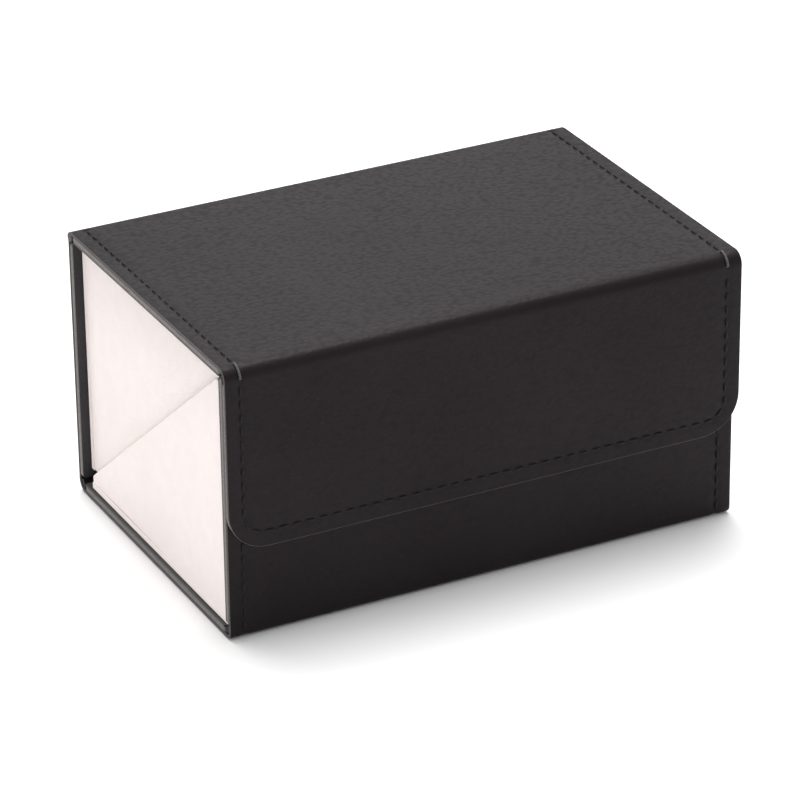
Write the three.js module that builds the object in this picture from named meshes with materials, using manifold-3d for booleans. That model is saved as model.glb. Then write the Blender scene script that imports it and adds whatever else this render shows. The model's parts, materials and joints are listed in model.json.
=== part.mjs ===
// A leather card deck box. One wrap of stitched panels makes the front wall, base, back wall, lid
// and closing flap. Each end is a pale gusset in two triangles that meet on a diagonal crease: the
// lower one turns on the base, the upper one laps behind it and turns on the back wall. Both fold
// inwards when the box is folded down.
// Millimetres, +Z up, front towards -Y. Origin: the middle of the box's footprint, on the floor.

import * as THREE from 'three';
import { mergeVertices } from 'three/addons/utils/BufferGeometryUtils.js';
import Module from 'manifold-3d';

const wasm = await Module();
wasm.setup();

// ---- driving dimensions -------------------------------------------------------------------
const LENGTH = 154;            // lid, end to end
const DEPTH = 102;             // back wall to flap
const HEIGHT = 80;
const BODY_SHORTER = 0.5;      // front, base and back stop this far inside the lid's ends
const FLAP_BOTTOM = 27;        // height of the flap's lower edge
const FLAP_CORNER = 11.5;
const PANEL_CORNER = 1;        // corners of every other panel, in plan
const FOLD_RADIUS = 3.5;       // outside of each leather fold
const FOLD_GAP = 0.4;          // between a fold's leather and the panel that turns on it
const LAYER_GAP = 0.05;
const LAYER_INSET = 0.2;       // board and lining stop this far inside the leather's edge
const PLAY = 0.3;              // between a panel and its neighbour
const WALL = { cover: 0.9, board: 1.2, lining: 0.6 };
const FLAP = { cover: 0.7, board: 0.9, lining: 0.5 };
const GUSSET = { facing: 0.35, board: 0.8, lining: 0.25 };
const GUSSET_RECESS = 1.5;     // lower gusset's face inside the lid's end
const GUSSET_LAP = 2.5;        // upper gusset reaches this far behind the lower one
const GUSSET_TIP = 4;          // sharp corners are cut off this far from the crease's ends
const GUSSET_GAP = { front: 0.4, top: 0.5, back: 0.2 };
const THREAD = { width: 0.8, depth: 0.35, margin: 4.5, corner: 6, sink: 0.05 };
const SEAM_END = 1.5;          // a seam stops this far inside its panel's ends
const GROOVE = { side: 0.15, deeper: 0.1, end: 0.3, open: 1 };  // room round a thread bar
const ROUNDED_END = 0.1;       // corner radius of a thread bar
const MAGNET = { radius: 5, thick: 0.8, x: 42, aboveEdge: 12, sides: 24 };
const KEEPER = { length: 18, height: 12, thick: 0.9 };

// ---- derived places -----------------------------------------------------------------------
const thickness = (stack) => stack.cover + stack.board + stack.lining + 2 * LAYER_GAP;
const WALL_T = thickness(WALL);
const FLAP_T = thickness(FLAP);
const GUSSET_T = GUSSET.facing + GUSSET.board + GUSSET.lining + 2 * LAYER_GAP;
const LID_X = LENGTH / 2;
const BODY_X = LENGTH / 2 - BODY_SHORTER;
const BACK_Y = DEPTH / 2;
const FLAP_Y = -DEPTH / 2;
const FRONT_Y = FLAP_Y + FLAP_T + PLAY;
const LOWER_X = LID_X - GUSSET_RECESS;
const UPPER_X = LOWER_X - GUSSET_T - PLAY;
const PIVOT_Y = BACK_Y - WALL_T - GUSSET_T - GUSSET_GAP.back;   // the back wall turns about this line
const PIVOT_Z = WALL_T + GUSSET_T + PLAY;
const GUSSET_FRONT = FRONT_Y + WALL_T + GUSSET_GAP.front;
const GUSSET_TOP = HEIGHT - WALL_T - GUSSET_GAP.top;
const WALL_FOOT = FOLD_RADIUS + FOLD_GAP;
const WALL_TOP = HEIGHT - FOLD_RADIUS - FOLD_GAP;

// ---- materials ----------------------------------------------------------------------------
const finish = (color, roughness, metalness = 0) =>
  new THREE.MeshStandardMaterial({ color, roughness, metalness });
const leather = finish(0x2b2729, 0.55);
const greyBoard = finish(0x8d8680, 0.9);
const suede = finish(0x1d1a1c, 0.95);
const clothFacing = finish(0xf3ece8, 0.9);
const whiteBoard = finish(0xdcd6cf, 0.9);
const darkThread = finish(0x17151a, 0.6);
const magnetNickel = finish(0xa9a9ad, 0.3, 1);
const keeperSteel = finish(0x8c8f93, 0.4, 1);

// ---- solids -------------------------------------------------------------------------------
function toManifold(geometry) {
  const bare = geometry.clone();
  bare.deleteAttribute('normal');
  bare.deleteAttribute('uv');
  const merged = mergeVertices(bare, 1e-5);
  return new wasm.Manifold(new wasm.Mesh({
    numProp: 3,
    vertProperties: new Float32Array(merged.attributes.position.array),
    triVerts: new Uint32Array(merged.index.array),
  }));
}

function fromManifold(solid) {
  const mesh = solid.getMesh();
  const geometry = new THREE.BufferGeometry();
  geometry.setAttribute('position', new THREE.BufferAttribute(mesh.vertProperties, 3));
  geometry.setIndex(new THREE.BufferAttribute(mesh.triVerts, 1));
  geometry.computeVertexNormals();
  return geometry;
}

function cut(geometry, cutters) {
  let solid = toManifold(geometry);
  for (const cutter of cutters) solid = solid.subtract(toManifold(cutter));
  return fromManifold(solid);
}

// An outline drawn in the plane of two axes, given thickness along the third.
const TURNS = {
  z: (m) => m,                                                       // outline in X, Y
  y: (m) => m.makeBasis(new THREE.Vector3(1, 0, 0), new THREE.Vector3(0, 0, 1),
    new THREE.Vector3(0, -1, 0)),                                    // outline in X, Z
  x: (m) => m.makeBasis(new THREE.Vector3(0, 1, 0), new THREE.Vector3(0, 0, 1),
    new THREE.Vector3(1, 0, 0)),                                     // outline in Y, Z
};

function plate(shape, axis, from, to, curveSegments = 8) {
  const depth = to - from;
  const geometry = new THREE.ExtrudeGeometry(shape, { depth, bevelEnabled: false, curveSegments });
  geometry.applyMatrix4(TURNS[axis](new THREE.Matrix4()));
  const start = axis === 'y' ? to : from;
  const shift = { x: 0, y: 0, z: 0, [axis]: start };
  geometry.translate(shift.x, shift.y, shift.z);
  return geometry;
}

// Rectangle from (a0, b0) to (a1, b1) with its own radius at the low-b and high-b corners.
function rectangle(a0, a1, b0, b1, lowRadius = PANEL_CORNER, highRadius = PANEL_CORNER) {
  const shape = new THREE.Shape();
  shape.moveTo(a0 + lowRadius, b0);
  shape.lineTo(a1 - lowRadius, b0);
  shape.absarc(a1 - lowRadius, b0 + lowRadius, lowRadius, -Math.PI / 2, 0);
  shape.lineTo(a1, b1 - highRadius);
  shape.absarc(a1 - highRadius, b1 - highRadius, highRadius, 0, Math.PI / 2);
  shape.lineTo(a0 + highRadius, b1);
  shape.absarc(a0 + highRadius, b1 - highRadius, highRadius, Math.PI / 2, Math.PI);
  shape.lineTo(a0, b0 + lowRadius);
  shape.absarc(a0 + lowRadius, b0 + lowRadius, lowRadius, Math.PI, Math.PI * 1.5);
  return shape;
}

// A quarter of a leather tube along X: the outside of a fold, from angle `turn` to `turn` + 90.
function foldLeather(halfLength, centreY, centreZ, turn) {
  const steps = 6;
  const shape = new THREE.Shape();
  const inner = FOLD_RADIUS - WALL.cover;
  shape.absarc(centreY, centreZ, FOLD_RADIUS, turn, turn + Math.PI / 2, false);
  shape.absarc(centreY, centreZ, inner, turn + Math.PI / 2, turn, true);
  return plate(shape, 'x', -halfLength, halfLength, steps);
}

// A straight seam, sunk into a panel's outer face: the thread's bar, or the groove that it lies in.
function seamBar(part, axis, across, face, outward, low, high) {
  const room = part === 'groove' ? GROOVE : { side: 0, deeper: 0, end: 0, open: -THREAD.sink };
  const half = THREAD.width / 2 + room.side;
  const bottom = face - outward * (THREAD.depth + THREAD.sink + room.deeper);
  const top = face + outward * room.open;
  const shape = rectangle(across - half, across + half, low - room.end, high + room.end,
    ROUNDED_END, ROUNDED_END);
  return plate(shape, axis, Math.min(bottom, top), Math.max(bottom, top), 1);
}

// ---- the model ----------------------------------------------------------------------------
const box = new THREE.Group();

function add(name, geometry, material) {
  const mesh = new THREE.Mesh(geometry, material);
  mesh.name = name;
  box.add(mesh);
  return mesh;
}

const ENDS = [{ side: 'left', sign: -1 }, { side: 'right', sign: 1 }];

// One straight seam near each end of a panel. Adds the thread, and gives back the grooves.
function endSeams(name, axis, halfLength, face, outward, low, high) {
  return ENDS.map(({ side, sign }) => {
    const across = sign * (halfLength - THREAD.margin);
    const seam = [axis, across, face, outward, low + SEAM_END, high - SEAM_END];
    add(`${name}_thread_${side}`, seamBar('thread', ...seam), darkThread);
    return seamBar('groove', ...seam);
  });
}

// Where each layer of a stack lies, from its outer face inwards.
function layers(stack, face, inward) {
  let at = face;
  return Object.fromEntries(Object.entries(stack).map(([layer, size]) => {
    const far = at + inward * size;
    const span = [Math.min(at, far), Math.max(at, far)];
    at = far + inward * LAYER_GAP;
    return [layer, span];
  }));
}

// Leather, board and lining. `radii` are its low and high corners'; `grooves` cut the leather and
// `pockets` the board.
function panel(name, axis, stack, face, inward, halfLength, low, high,
  { radii = [PANEL_CORNER, PANEL_CORNER], grooves = [], pockets = [] }) {
  const span = layers(stack, face, inward);
  const body = (inset, layer) => plate(rectangle(
    -halfLength + inset, halfLength - inset, low + inset, high - inset,
    radii[0] - inset, radii[1] - inset), axis, ...span[layer]);
  add(`${name}_cover`, cut(body(0, 'cover'), grooves), leather);
  add(`${name}_board`, cut(body(LAYER_INSET, 'board'), pockets), greyBoard);
  add(`${name}_lining`, body(LAYER_INSET, 'lining'), suede);
  return span;
}

// Base: the cover lies on the floor, and its two folds are leather only.
const baseFront = FRONT_Y + FOLD_RADIUS;
const baseBack = BACK_Y - FOLD_RADIUS;
panel('base', 'z', WALL, 0, 1, BODY_X, baseFront, baseBack, {
  grooves: endSeams('base', 'z', BODY_X, 0, -1, baseFront, baseBack),
});
add('front_fold_leather', foldLeather(BODY_X, baseFront, FOLD_RADIUS, Math.PI), leather);
add('rear_fold_leather', foldLeather(BODY_X, baseBack, FOLD_RADIUS, Math.PI * 1.5), leather);

// Front wall, with a steel keeper plate let into its board behind each magnet.
const magnetZ = FLAP_BOTTOM + MAGNET.aboveEdge;
const pocketInFront = (x) => plate(
  rectangle(x - KEEPER.length / 2 - PLAY, x + KEEPER.length / 2 + PLAY,
    magnetZ - KEEPER.height / 2 - PLAY, magnetZ + KEEPER.height / 2 + PLAY),
  'y', FRONT_Y, FRONT_Y + WALL_T);
const frontSpan = panel('front_wall', 'y', WALL, FRONT_Y, 1, BODY_X, WALL_FOOT, GUSSET_TOP, {
  grooves: endSeams('front_wall', 'y', BODY_X, FRONT_Y, -1, WALL_FOOT, GUSSET_TOP),
  pockets: ENDS.map(({ sign }) => pocketInFront(sign * MAGNET.x)),
});
for (const { side, sign } of ENDS) {
  const x = sign * MAGNET.x;
  const start = frontSpan.board[0] + (WALL.board - KEEPER.thick) / 2;
  add(`keeper_plate_${side}`, plate(
    rectangle(x - KEEPER.length / 2, x + KEEPER.length / 2,
      magnetZ - KEEPER.height / 2, magnetZ + KEEPER.height / 2),
    'y', start, start + KEEPER.thick), keeperSteel);
}

// Back wall.
panel('back_wall', 'y', WALL, BACK_Y, -1, BODY_X, WALL_FOOT, WALL_TOP, {
  grooves: endSeams('back_wall', 'y', BODY_X, BACK_Y, 1, WALL_FOOT, WALL_TOP),
});

// Spine: the leather fold between back wall and lid.
const lidFront = FLAP_Y + FOLD_RADIUS;
const lidBack = BACK_Y - FOLD_RADIUS - FOLD_GAP;
const foldZ = HEIGHT - FOLD_RADIUS;
add('spine_leather', foldLeather(LID_X, BACK_Y - FOLD_RADIUS, foldZ, 0), leather);

// Lid, and the leather of its front fold.
panel('lid', 'z', WALL, HEIGHT, -1, LID_X, lidFront, lidBack, {
  grooves: endSeams('lid', 'z', LID_X, HEIGHT, 1, lidFront, lidBack),
});
add('flap_fold_leather', foldLeather(LID_X, lidFront, foldZ, Math.PI / 2), leather);

// Flap, with a magnet near each end and one seam round its three free sides.
function flapSeam(part) {
  const room = part === 'groove' ? GROOVE : { side: 0, deeper: 0, end: 0, open: -THREAD.sink };
  const half = THREAD.width / 2 + room.side;
  const x = LID_X - THREAD.margin;
  const low = FLAP_BOTTOM + THREAD.margin;
  const high = WALL_TOP - SEAM_END + room.end;
  const front = FLAP_Y - room.open;
  const back = FLAP_Y + THREAD.sink + THREAD.depth + room.deeper;
  const clear = 2;
  const outer = rectangle(-x - half, x + half, low - half, high, THREAD.corner + half, ROUNDED_END);
  const inner = rectangle(-x + half, x - half, low + half, high + clear,
    THREAD.corner - half, ROUNDED_END);
  return cut(plate(outer, 'y', front, back), [plate(inner, 'y', front - clear, back + clear)]);
}
const magnetHole = (x) => {
  const radius = MAGNET.radius + PLAY;
  const hole = new THREE.CylinderGeometry(radius, radius, FLAP_T, MAGNET.sides);
  return hole.translate(x, FLAP_Y + FLAP_T / 2, magnetZ);
};
const flapSpan = panel('flap', 'y', FLAP, FLAP_Y, 1, LID_X, FLAP_BOTTOM, WALL_TOP, {
  radii: [FLAP_CORNER, PANEL_CORNER],
  grooves: [flapSeam('groove')],
  pockets: ENDS.map(({ sign }) => magnetHole(sign * MAGNET.x)),
});
add('flap_thread', flapSeam('thread'), darkThread);
for (const { side, sign } of ENDS) {
  const disc = new THREE.CylinderGeometry(MAGNET.radius, MAGNET.radius, MAGNET.thick,
    MAGNET.sides);
  disc.translate(sign * MAGNET.x, (flapSpan.board[0] + flapSpan.board[1]) / 2, magnetZ);
  add(`magnet_${side}`, disc, magnetNickel);
}

// ---- gussets ------------------------------------------------------------------------------
// The crease runs from the back wall's pivot to the top of the front wall. Each triangle turns
// about its outer face, so its board is rounded about that line along the hinge edge.
const pivot = new THREE.Vector2(PIVOT_Y, PIVOT_Z);
const crease = new THREE.Vector2(GUSSET_FRONT, GUSSET_TOP).sub(pivot);
const creaseLength = crease.length();
crease.normalize();
const aboveCrease = new THREE.Vector2(crease.y, -crease.x);

// A point beside the crease, `along` from the pivot and `above` the line.
const creasePoint = (along, above) =>
  pivot.clone().addScaledVector(crease, along).addScaledVector(aboveCrease, above);

// Outlines in Y, Z. The crease edge and the free edges are pulled in by `inset`.
const OUTLINES = {
  lower(inset) {
    const foot = creasePoint(GUSSET_TIP + inset, -inset);
    const tip = creasePoint(creaseLength - GUSSET_TIP - inset, -inset);
    return [[foot.x, foot.y], [foot.x, PIVOT_Z], [GUSSET_FRONT + inset, PIVOT_Z],
      [GUSSET_FRONT + inset, tip.y], [tip.x, tip.y]];
  },
  upper(inset) {
    const foot = creasePoint(GUSSET_TIP + inset, inset);
    const lapped = creasePoint(GUSSET_TIP + GUSSET_LAP * 2 + inset, inset - GUSSET_LAP);
    const tip = creasePoint(creaseLength - GUSSET_TIP - inset, inset - GUSSET_LAP);
    return [[PIVOT_Y, foot.y], [foot.x, foot.y], [lapped.x, lapped.y], [tip.x, tip.y],
      [tip.x, GUSSET_TOP - inset], [PIVOT_Y, GUSSET_TOP - inset]];
  },
};

// The rounded hinge edge of a board: a quarter ring about the hinge line, run along the edge.
function hingeEdge(half, sign) {
  const overlap = 0.05;
  const inner = GUSSET.facing + LAYER_GAP;
  const shape = new THREE.Shape();
  shape.absarc(0, 0, inner + GUSSET.board, -overlap, Math.PI / 2, false);
  shape.absarc(0, 0, inner, Math.PI / 2, -overlap, true);
  const foot = creasePoint(GUSSET_TIP + LAYER_INSET * 2, 0);
  const [start, end] = half === 'upper'
    ? [foot.y, GUSSET_TOP - LAYER_INSET]
    : [GUSSET_FRONT + LAYER_INSET, foot.x];
  const depth = end - start;
  const ring = new THREE.ExtrudeGeometry(shape, { depth, bevelEnabled: false, curveSegments: 5 });
  const inwards = new THREE.Vector3(-sign, 0, 0);
  const away = half === 'upper' ? new THREE.Vector3(0, 1, 0) : new THREE.Vector3(0, 0, -1);
  const along = new THREE.Vector3().crossVectors(inwards, away);
  ring.applyMatrix4(new THREE.Matrix4().makeBasis(inwards, away, along));
  const from = along.y + along.z > 0 ? start : end;
  return half === 'upper'
    ? ring.translate(sign * UPPER_X, PIVOT_Y, from)
    : ring.translate(sign * LOWER_X, from, PIVOT_Z);
}

function gusset(half, faceX, side, sign) {
  const looks = { facing: clothFacing, board: whiteBoard, lining: clothFacing };
  for (const [layer, span] of Object.entries(layers(GUSSET, faceX, -1))) {
    const inset = layer === 'board' ? LAYER_INSET : 0;
    const corners = OUTLINES[half](inset).map(([y, z]) => new THREE.Vector2(y, z));
    const ends = span.map((x) => sign * x);
    const flat = plate(new THREE.Shape(corners), 'x', Math.min(...ends), Math.max(...ends));
    const solid = layer === 'board'
      ? fromManifold(toManifold(flat).add(toManifold(hingeEdge(half, sign))))
      : flat;
    add(`${half}_gusset_${layer}_${side}`, solid, looks[layer]);
  }
}

for (const { side, sign } of ENDS) {
  gusset('lower', LOWER_X, side, sign);
  gusset('upper', UPPER_X, side, sign);
}

export default box;
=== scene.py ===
# %% [markdown]
# This scene dresses a folding card box in its real surfaces. The box is one long wrap of black
# grained leather over board: front wall, base, back wall, lid and closing flap. Two pale cloth
# triangles close each end. The engineering model gives every place and every hinge, so it is
# loaded first.

# %% Load the frame
import json
import math
import random

import bmesh
import bpy
from mathutils import Matrix, Vector


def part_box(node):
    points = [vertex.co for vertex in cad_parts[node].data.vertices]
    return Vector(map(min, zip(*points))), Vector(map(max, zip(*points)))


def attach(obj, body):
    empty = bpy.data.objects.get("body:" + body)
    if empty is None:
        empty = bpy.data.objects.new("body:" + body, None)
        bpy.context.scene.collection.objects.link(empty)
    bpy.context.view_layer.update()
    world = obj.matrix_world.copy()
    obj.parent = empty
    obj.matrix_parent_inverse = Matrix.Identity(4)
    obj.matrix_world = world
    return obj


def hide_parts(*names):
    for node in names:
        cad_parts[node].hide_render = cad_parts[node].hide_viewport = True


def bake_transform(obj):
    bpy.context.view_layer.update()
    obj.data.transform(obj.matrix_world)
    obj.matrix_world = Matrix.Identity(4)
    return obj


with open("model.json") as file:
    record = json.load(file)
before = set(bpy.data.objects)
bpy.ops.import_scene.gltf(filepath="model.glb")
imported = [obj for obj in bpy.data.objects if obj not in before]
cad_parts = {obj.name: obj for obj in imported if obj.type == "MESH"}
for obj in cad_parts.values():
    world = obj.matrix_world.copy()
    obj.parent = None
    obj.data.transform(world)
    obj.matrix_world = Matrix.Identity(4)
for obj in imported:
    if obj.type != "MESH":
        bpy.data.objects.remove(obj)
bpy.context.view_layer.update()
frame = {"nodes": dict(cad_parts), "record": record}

MM = 0.001
TOUCHING = 0.01 * MM                     # points nearer than this are one point

# %% [markdown]
# Blender's modelling operators act on whatever is selected, and the loaded nodes come in
# selected. So every step starts by clearing the selection. Editing happens in edit mode, one
# piece at a time.

# %% Selection helpers
def clear_selection():
    if bpy.context.object and bpy.context.object.mode == "EDIT":
        bpy.ops.object.mode_set(mode="OBJECT")
    bpy.ops.object.select_all(action="DESELECT")


def open_piece(piece):
    clear_selection()
    piece.select_set(True)
    bpy.context.view_layer.objects.active = piece
    bpy.ops.object.mode_set(mode="EDIT")
    bpy.ops.mesh.select_all(action="DESELECT")


def close_piece():
    bpy.ops.object.mode_set(mode="OBJECT")


# %% [markdown]
# A few steps come back for every piece: joining points that have come together, turning faces
# outwards, picking parts, applying a modifier, and putting the object's place into its mesh so
# that it ends at the origin, unturned.

# %% Mesh helpers
def merge_and_face_out(near):
    """In edit mode, join points that lie together and point all the faces outwards."""
    bpy.ops.mesh.select_all(action="SELECT")
    bpy.ops.mesh.remove_doubles(threshold=near)
    bpy.ops.mesh.normals_make_consistent(inside=False)


def flip_faces(piece):
    open_piece(piece)
    bpy.ops.mesh.select_all(action="SELECT")
    bpy.ops.mesh.flip_normals()
    close_piece()


def pick(piece, kind, test):
    """In edit mode, select what has its middle where test(middle) is true."""
    bpy.ops.mesh.select_mode(type=kind)
    bpy.ops.mesh.select_all(action="DESELECT")
    mesh = bmesh.from_edit_mesh(piece.data)
    parts = {"VERT": mesh.verts, "EDGE": mesh.edges, "FACE": mesh.faces}[kind]
    for part in parts:
        corners = [part] if kind == "VERT" else part.verts
        middle = sum((v.co for v in corners), Vector()) / len(corners)
        if test(middle):
            part.select_set(True)
    bmesh.update_edit_mesh(piece.data)


def apply_modifier(piece, kind, **settings):
    clear_selection()
    piece.select_set(True)
    bpy.context.view_layer.objects.active = piece
    modifier = piece.modifiers.new(kind.title(), kind)
    for name, value in settings.items():
        setattr(modifier, name, value)
    bpy.ops.object.modifier_apply(modifier=modifier.name)


def settle(piece, name):
    """Put the object's place into its mesh, and name it."""
    clear_selection()
    piece.select_set(True)
    bpy.context.view_layer.objects.active = piece
    bpy.ops.object.transform_apply(location=True, rotation=True, scale=True)
    piece.name = name
    piece.data.name = name
    return piece


print("points closer than", TOUCHING / MM, "mm are joined")

# %% [markdown]
# The boxes of a few nodes give every size that the surface pieces need. Reading them here keeps
# the scene true to the frame if a size changes.

# %% Sizes from the frame
lid_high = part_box("lid_cover")[1]
flap_low, flap_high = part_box("flap_cover")
front_low, front_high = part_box("front_wall_cover")
back_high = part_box("back_wall_cover")[1]
base_low, base_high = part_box("base_cover")
fold_low, fold_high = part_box("spine_leather")

LID_HALF = lid_high.x
BODY_HALF = base_high.x
TOP = lid_high.z
FOLD = fold_high.z - fold_low.z          # outside radius of every fold
SKIN = flap_high.y - flap_low.y          # leather thickness
SEAM_MARGIN = 4.5 * MM                   # from a cut edge to its row of stitches
SEAM_CORNER = 6 * MM                     # the seam's own radius at the flap's corners
FLAP_CORNER = 11.5 * MM
PITCH = 3.9 * MM                         # needle hole to needle hole
CROWN = 0.6 * MM                         # the lid stands this proud in its middle
print("leather", round(SKIN / MM, 2), "mm thick, folds of", round(FOLD / MM, 2), "mm")

# %% [markdown]
# Materials are made of nodes. A pattern that several finishes share becomes a node group, with
# its own inputs and outputs. The groups here only give out values, so an exporter can read them.

# %% Node helpers
def new_group(name, inputs, outputs):
    group = bpy.data.node_groups.new(name, "ShaderNodeTree")
    for label, kind, value in inputs:
        socket = group.interface.new_socket(name=label, in_out="INPUT", socket_type=kind)
        if value is not None:
            socket.default_value = value
    for label, kind in outputs:
        group.interface.new_socket(name=label, in_out="OUTPUT", socket_type=kind)
    start = group.nodes.new("NodeGroupInput")
    end = group.nodes.new("NodeGroupOutput")
    return group, start.outputs, end.inputs


def node(tree, kind, links=(), **settings):
    """Add a node, set its properties, and link or set its inputs."""
    made = tree.nodes.new(kind)
    for name, value in settings.items():
        setattr(made, name, value)
    for socket, value in dict(links).items():
        if isinstance(value, bpy.types.NodeSocket):
            tree.links.new(value, made.inputs[socket])
        else:
            made.inputs[socket].default_value = value
    return made


def math_node(tree, operation, first, second=0.5):
    return node(tree, "ShaderNodeMath", {0: first, 1: second}, operation=operation).outputs[0]


VECTOR, VALUE = "NodeSocketVector", "NodeSocketFloat"
print("node helpers ready for Blender", bpy.app.version_string)

# %% [markdown]
# Black coated leather gets its look from relief, not from colour. This group makes the grain
# once: small rounded cells, pulled a little along the box, with soft wrinkles between them.
# Every leather material then places the group with its own scale.

# %% Node group: leather grain
grain, given, out = new_group(
    "leather_grain",
    [("Vector", VECTOR, None), ("Scale", VALUE, 700.0), ("Wrinkle", VALUE, 0.5)],
    [("Height", VALUE), ("Valley", VALUE)])
pulled = node(grain, "ShaderNodeMapping", {"Vector": given["Vector"], "Scale": (0.72, 1, 1)})
warp = node(grain, "ShaderNodeTexNoise", {"Vector": pulled.outputs[0], "Scale": 160.0, "Detail": 3.0})
push = node(grain, "ShaderNodeVectorMath", {0: warp.outputs["Color"], 1: (0.0016, 0.0016, 0.0016)},
            operation="MULTIPLY")
bent = node(grain, "ShaderNodeVectorMath", {0: pulled.outputs[0], 1: push.outputs[0]}, operation="ADD")
cells = node(grain, "ShaderNodeTexVoronoi", {"Vector": bent.outputs[0], "Scale": given["Scale"],
             "Smoothness": 0.6}, feature="SMOOTH_F1")
wrinkles = node(grain, "ShaderNodeTexNoise", {"Vector": bent.outputs[0], "Scale": 420.0,
                "Detail": 5.0, "Roughness": 0.62})
cell_part = math_node(grain, "SUBTRACT", 1.0, cells.outputs["Distance"])
wrinkle_part = math_node(grain, "MULTIPLY", wrinkles.outputs["Fac"], given["Wrinkle"])
height = math_node(grain, "ADD", cell_part, wrinkle_part)
valley = node(grain, "ShaderNodeMapRange", {"Value": cells.outputs["Distance"], "From Min": 0.35,
              "From Max": 0.8})
grain.links.new(height, out["Height"])
grain.links.new(valley.outputs[0], out["Valley"])
print("grain group:", len(grain.nodes), "nodes")

# %% [markdown]
# Two more groups serve all the finishes. `handling` is a broad, cloudy mask for the sheen that
# hands leave. `dust` is a sparse mask of fine pale specks and lint.

# %% Node groups: handling and dust
handling, given, out = new_group(
    "handling", [("Vector", VECTOR, None), ("Scale", VALUE, 20.0)], [("Mask", VALUE)])
clouds = node(handling, "ShaderNodeTexNoise", {"Vector": given["Vector"], "Scale": given["Scale"],
              "Detail": 4.0, "Roughness": 0.55})
mask = node(handling, "ShaderNodeMapRange", {"Value": clouds.outputs["Fac"], "From Min": 0.35,
            "From Max": 0.7})
handling.links.new(mask.outputs[0], out["Mask"])

dust, given, out = new_group(
    "dust", [("Vector", VECTOR, None), ("Scale", VALUE, 900.0), ("Amount", VALUE, 0.5)],
    [("Mask", VALUE)])
specks = node(dust, "ShaderNodeTexNoise", {"Vector": given["Vector"], "Scale": given["Scale"],
              "Detail": 2.0})
sparse = node(dust, "ShaderNodeMapRange", {"Value": specks.outputs["Fac"], "From Min": 0.66,
              "From Max": 0.8})
dust.links.new(math_node(dust, "MULTIPLY", sparse.outputs[0], given["Amount"]), out["Mask"])
print("groups:", [g.name for g in bpy.data.node_groups])

# %% [markdown]
# The end cloth is a fine plain weave. Two sets of sine waves, one for each thread direction, are
# multiplied so that threads pass over and under. The cloth faces sideways, so the weave runs
# along Y and Z of the object's own coordinates.

# %% Node group: plain weave
weave, given, out = new_group(
    "plain_weave", [("Vector", VECTOR, None), ("Threads", VALUE, 11000.0)],
    [("Height", VALUE), ("Slub", VALUE)])
axes = node(weave, "ShaderNodeSeparateXYZ", {0: given["Vector"]}).outputs
warp_wave = math_node(weave, "SINE", math_node(weave, "MULTIPLY", axes["Y"], given["Threads"]))
weft_wave = math_node(weave, "SINE", math_node(weave, "MULTIPLY", axes["Z"], given["Threads"]))
crossing = math_node(weave, "MULTIPLY", warp_wave, weft_wave)
slub = node(weave, "ShaderNodeTexNoise", {"Vector": given["Vector"], "Scale": 260.0, "Detail": 3.0})
weave.links.new(math_node(weave, "ADD", crossing, slub.outputs["Fac"]), out["Height"])
weave.links.new(slub.outputs["Fac"], out["Slub"])
print("weave group:", len(weave.nodes), "nodes")

# %% [markdown]
# A material starts as a Principled shader with its plain values on its own sockets. Only what
# varies over the surface is linked. This helper makes that start, and the second one places a
# group on the object's own coordinates.

# %% Material helpers
def new_material(name, roughness, **values):
    material = bpy.data.materials.new(name)
    material.use_nodes = True
    shader = material.node_tree.nodes["Principled BSDF"]
    shader.inputs["Roughness"].default_value = roughness
    for socket, value in values.items():
        shader.inputs[socket.replace("_", " ")].default_value = value
    return material, material.node_tree, shader.inputs


def object_vector(tree):
    return node(tree, "ShaderNodeTexCoord").outputs["Object"]


def place(tree, group, vector, **values):
    made = node(tree, "ShaderNodeGroup", node_tree=group)
    tree.links.new(vector, made.inputs["Vector"])
    for name, value in values.items():
        made.inputs[name].default_value = value
    return made.outputs


def mix_colour(tree, fac, first, second):
    made = node(tree, "ShaderNodeMix", data_type="RGBA")
    tree.links.new(fac, made.inputs[0])
    for socket, colour in ((made.inputs[6], first), (made.inputs[7], second)):
        if isinstance(colour, bpy.types.NodeSocket):
            tree.links.new(colour, socket)
        else:
            socket.default_value = (*colour, 1)
    return made.outputs[2]


def spread(tree, value, low, high):
    """Turn a mask of 0 to 1 into a value from low to high."""
    return node(tree, "ShaderNodeMapRange", {"Value": value, "To Min": low, "To Max": high}).outputs[0]


def relief(tree, height, shader, distance, strength):
    bump = node(tree, "ShaderNodeBump", {"Height": height, "Distance": distance, "Strength": strength})
    tree.links.new(bump.outputs[0], shader["Normal"])


print("materials so far:", len(bpy.data.materials))

# %% [markdown]
# The leather itself: near black with a faint warm cast, slightly greyer where hands polish it
# and a little duller in the valleys of the grain. Coated leather shines weakly, so its specular
# level is low. Its cut edge is bare backing cloth, a rough grey, and its colour is made lighter
# still as a painted highlight, so that the edge shows as a thin light line.

# %% Materials: leather and its cut edge
def leather_material(name, dark, light, grain_scale, roughness):
    material, tree, shader = new_material(name, roughness, Specular_IOR_Level=0.16,
                                          Specular_Tint=(1.0, 0.88, 1.0, 1.0))
    vector = object_vector(tree)
    cells = place(tree, grain, vector, Scale=grain_scale, Wrinkle=0.8)
    hands = place(tree, handling, vector, Scale=22.0)
    lint = place(tree, dust, vector, Scale=1500.0, Amount=0.08)
    worn = mix_colour(tree, hands["Mask"], dark, light)
    dusty = mix_colour(tree, lint["Mask"], worn, (0.16, 0.15, 0.15))
    tree.links.new(dusty, shader["Base Color"])
    tree.links.new(spread(tree, cells["Valley"], roughness - 0.04, roughness + 0.10),
                   shader["Roughness"])
    relief(tree, cells["Height"], shader, 0.00016, 0.33)
    return material


leather = leather_material("black_grained_leather", (0.0072, 0.0056, 0.0056), (0.0108, 0.0090, 0.0092),
                           880.0, 0.47)

# The cut edge's grey is partly its own colour and partly a painted highlight: its light end is far paler
# than a bare edge.
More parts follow.
